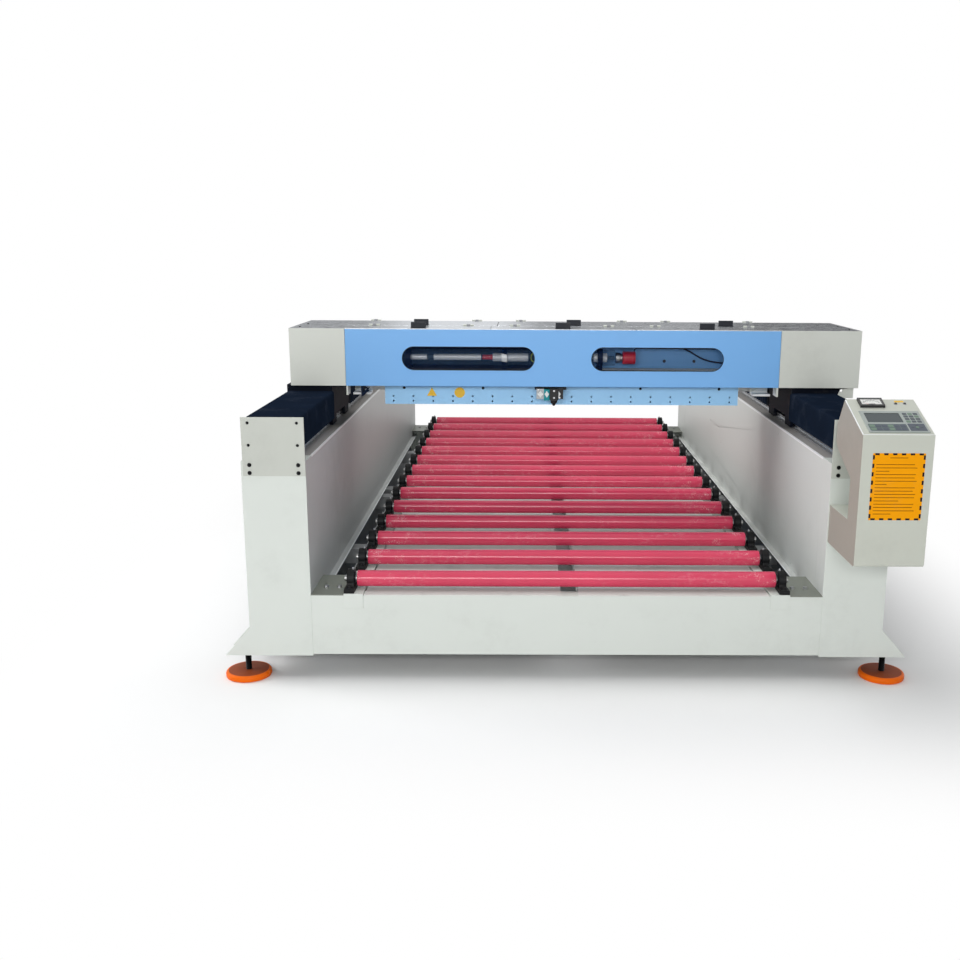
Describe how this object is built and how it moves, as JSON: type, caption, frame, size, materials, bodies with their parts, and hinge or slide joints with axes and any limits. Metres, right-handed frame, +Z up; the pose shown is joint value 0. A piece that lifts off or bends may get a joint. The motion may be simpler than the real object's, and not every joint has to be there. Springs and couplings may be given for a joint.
{
  "type": "laser cutting machine",
  "caption": "Flatbed gas-tube laser cutter: a travelling gantry over a bed of driven-through rollers, bellows-covered side rails and a control cabinet.",
  "frame": {"origin": "on the floor, in the middle of the machine's footprint", "axes": "+Z up, +Y along the bed away from the operator's end, +X across the bed to the operator's right"},
  "size_m": [2.282, 3.6968, 1.134],
  "materials": {
    "frame_paint": "satin",
    "housing_paint": "satin",
    "blue_paint": "satin",
    "galvanised": "satin",
    "deck_steel": "satin",
    "rail_steel": "ground",
    "rack_steel": "milled",
    "block_iron": "satin",
    "foot_rubber": "matt pad on a black rod",
    "bellows_cloth": "coated cloth",
    "roller_red": "coated sleeve, steel shaft",
    "lid_white": "gloss, black handle",
    "pane": "gloss",
    "tube_glass": "gloss",
    "optic_black": "anodised",
    "belt_rubber": "matt",
    "motor_black": "satin",
    "head_teal": "anodised",
    "head_grey": "anodised",
    "nozzle_black": "anodised",
    "gear_steel": "hobbed",
    "pulley_aluminium": "turned",
    "cabinet_paint": "satin",
    "panel_blue": "film over a case",
    "meter_black": "gloss",
    "button_black": "gloss"
  },
  "bodies": {
    "frame": {"front_frame": "frame_paint", "rear_frame": "frame_paint", "side_beam_left": "frame_paint", "side_beam_right": "frame_paint", "roller_bars": "galvanised", "bed_cross_members": "galvanised", "deck_sheets": "deck_steel", "pillow_blocks": "block_iron", "bellows_end_plates": "housing_paint", "y_rails": "rail_steel", "y_racks": "rack_steel", "levelling_feet": "foot_rubber", "cabinet_shell": "cabinet_paint", "control_panel": "panel_blue", "ammeter": "meter_black", "bellows_front_left": "bellows_cloth", "bellows_front_right": "bellows_cloth", "bellows_rear_left": "bellows_cloth", "bellows_rear_right": "bellows_cloth"},
    "gantry": {"gantry_beam": "blue_paint", "gantry_housing": "housing_paint", "front_cover": "blue_paint", "window_panes": "pane", "end_cover_left": "housing_paint", "end_cover_right": "housing_paint", "laser_tube": "tube_glass", "optics_mounts": "optic_black", "x_rail": "rail_steel", "x_belt": "belt_rubber", "drive_motors": "motor_black", "gantry_carriages": "frame_paint"},
    "head": {"head_carriage": "head_grey", "beam_head": "head_teal"},
    "lens": {"lens_tube": "nozzle_black"},
    "pinion_left": {"pinion_left": "gear_steel"},
    "pinion_right": {"pinion_right": "gear_steel"},
    "x_drive_pulley": {"x_drive_pulley": "pulley_aluminium"},
    "x_idler_pulley": {"x_idler_pulley": "pulley_aluminium"},
    "button_left": {"button_left": "button_black"},
    "button_right": {"button_right": "button_black"},
    "front_lid_left": {"front_lid_left": "lid_white"},
    "front_lid_centre": {"front_lid_centre": "lid_white"},
    "front_lid_right": {"front_lid_right": "lid_white"},
    "rear_lid_left": {"rear_lid_left": "lid_white"},
    "rear_lid_centre": {"rear_lid_centre": "lid_white"},
    "rear_lid_right": {"rear_lid_right": "lid_white"},
    "roller_01": {"roller_01": "roller_red"},
    "roller_02": {"roller_02": "roller_red"},
    "roller_03": {"roller_03": "roller_red"},
    "roller_04": {"roller_04": "roller_red"},
    "roller_05": {"roller_05": "roller_red"},
    "roller_06": {"roller_06": "roller_red"},
    "roller_07": {"roller_07": "roller_red"},
    "roller_08": {"roller_08": "roller_red"},
    "roller_09": {"roller_09": "roller_red"},
    "roller_10": {"roller_10": "roller_red"},
    "roller_11": {"roller_11": "roller_red"},
    "roller_12": {"roller_12": "roller_red"},
    "roller_13": {"roller_13": "roller_red"},
    "roller_14": {"roller_14": "roller_red"}
  },
  "joints": [
    {"name": "gantry_slide", "type": "slide", "parent": "frame", "child": "gantry", "axis": [0, 1, 0], "range_m": [-0.4, 2.05], "deforming": ["bellows_front_left", "bellows_front_right", "bellows_rear_left", "bellows_rear_right"]},
    {"name": "head_slide", "type": "slide", "parent": "gantry", "child": "head", "axis": [1, 0, 0], "range_m": [-0.61, 0.69]},
    {"name": "lens_slide", "type": "slide", "parent": "head", "child": "lens", "axis": [0, 0, 1], "range_m": [-0.02, 0.005]},
    {"name": "pinion_left_turn", "type": "hinge", "parent": "gantry", "child": "pinion_left", "pos_m": [-0.98215, -0.61049, 0.741], "axis": [0, 0, 1], "range_deg": [-4000, 4000]},
    {"name": "pinion_right_turn", "type": "hinge", "parent": "gantry", "child": "pinion_right", "pos_m": [0.98215, -0.61049, 0.741], "axis": [0, 0, 1], "range_deg": [-4000, 4000]},
    {"name": "drive_pulley_turn", "type": "hinge", "parent": "gantry", "child": "x_drive_pulley", "pos_m": [-0.785, -0.86449, 0.95], "axis": [0, 0, 1], "range_deg": [-3400, 3400]},
    {"name": "idler_pulley_turn", "type": "hinge", "parent": "gantry", "child": "x_idler_pulley", "pos_m": [0.785, -0.86449, 0.95], "axis": [0, 0, 1], "range_deg": [-3400, 3400]},
    {"name": "front_lid_left_hinge", "type": "hinge", "parent": "gantry", "child": "front_lid_left", "pos_m": [0, -0.76949, 1.115], "axis": [-1, 0, 0], "range_deg": [0, 95]},
    {"name": "front_lid_centre_hinge", "type": "hinge", "parent": "gantry", "child": "front_lid_centre", "pos_m": [0, -0.76949, 1.115], "axis": [-1, 0, 0], "range_deg": [0, 95]},
    {"name": "front_lid_right_hinge", "type": "hinge", "parent": "gantry", "child": "front_lid_right", "pos_m": [0, -0.76949, 1.115], "axis": [-1, 0, 0], "range_deg": [0, 95]},
    {"name": "rear_lid_left_hinge", "type": "hinge", "parent": "gantry", "child": "rear_lid_left", "pos_m": [0, -0.49949, 1.115], "axis": [-1, 0, 0], "range_deg": [0, 95]},
    {"name": "rear_lid_centre_hinge", "type": "hinge", "parent": "gantry", "child": "rear_lid_centre", "pos_m": [0, -0.49949, 1.115], "axis": [-1, 0, 0], "range_deg": [0, 95]},
    {"name": "rear_lid_right_hinge", "type": "hinge", "parent": "gantry", "child": "rear_lid_right", "pos_m": [0, -0.49949, 1.115], "axis": [-1, 0, 0], "range_deg": [0, 95]},
    {"name": "roller_01_turn", "type": "hinge", "parent": "frame", "child": "roller_01", "pos_m": [0, -1.50449, 0.3273], "axis": [1, 0, 0], "continuous": true},
    {"name": "roller_02_turn", "type": "hinge", "parent": "frame", "child": "roller_02", "pos_m": [0, -1.25541, 0.3273], "axis": [1, 0, 0], "continuous": true},
    {"name": "roller_03_turn", "type": "hinge", "parent": "frame", "child": "roller_03", "pos_m": [0, -1.00634, 0.3273], "axis": [1, 0, 0], "continuous": true},
    {"name": "roller_04_turn", "type": "hinge", "parent": "frame", "child": "roller_04", "pos_m": [0, -0.75726, 0.3273], "axis": [1, 0, 0], "continuous": true},
    {"name": "roller_05_turn", "type": "hinge", "parent": "frame", "child": "roller_05", "pos_m": [0, -0.50818, 0.3273], "axis": [1, 0, 0], "continuous": true},
    {"name": "roller_06_turn", "type": "hinge", "parent": "frame", "child": "roller_06", "pos_m": [0, -0.2591, 0.3273], "axis": [1, 0, 0], "continuous": true},
    {"name": "roller_07_turn", "type": "hinge", "parent": "frame", "child": "roller_07", "pos_m": [0, -0.01003, 0.3273], "axis": [1, 0, 0], "continuous": true},
    {"name": "roller_08_turn", "type": "hinge", "parent": "frame", "child": "roller_08", "pos_m": [0, 0.23905, 0.3273], "axis": [1, 0, 0], "continuous": true},
    {"name": "roller_09_turn", "type": "hinge", "parent": "frame", "child": "roller_09", "pos_m": [0, 0.48813, 0.3273], "axis": [1, 0, 0], "continuous": true},
    {"name": "roller_10_turn", "type": "hinge", "parent": "frame", "child": "roller_10", "pos_m": [0, 0.7372, 0.3273], "axis": [1, 0, 0], "continuous": true},
    {"name": "roller_11_turn", "type": "hinge", "parent": "frame", "child": "roller_11", "pos_m": [0, 0.98628, 0.3273], "axis": [1, 0, 0], "continuous": true},
    {"name": "roller_12_turn", "type": "hinge", "parent": "frame", "child": "roller_12", "pos_m": [0, 1.23536, 0.3273], "axis": [1, 0, 0], "continuous": true},
    {"name": "roller_13_turn", "type": "hinge", "parent": "frame", "child": "roller_13", "pos_m": [0, 1.48443, 0.3273], "axis": [1, 0, 0], "continuous": true},
    {"name": "roller_14_turn", "type": "hinge", "parent": "frame", "child": "roller_14", "pos_m": [0, 1.73351, 0.3273], "axis": [1, 0, 0], "continuous": true},
    {"name": "button_left_press", "type": "slide", "parent": "frame", "child": "button_left", "axis": [0, 0.3624, -0.932], "range_m": [0, 0.002], "stiffness_N_per_m": 600, "springref_m": -0.001},
    {"name": "button_right_press", "type": "slide", "parent": "frame", "child": "button_right", "axis": [0, 0.3624, -0.932], "range_m": [0, 0.002], "stiffness_N_per_m": 600, "springref_m": -0.001}
  ],
  "couplings": [
    {"joint": "pinion_right_turn", "follows": "gantry_slide", "rad_per_m": 33.333},
    {"joint": "pinion_left_turn", "follows": "gantry_slide", "rad_per_m": -33.333},
    {"joint": "drive_pulley_turn", "follows": "head_slide", "rad_per_m": 76.628},
    {"joint": "idler_pulley_turn", "follows": "head_slide", "rad_per_m": 76.628}
  ]
}
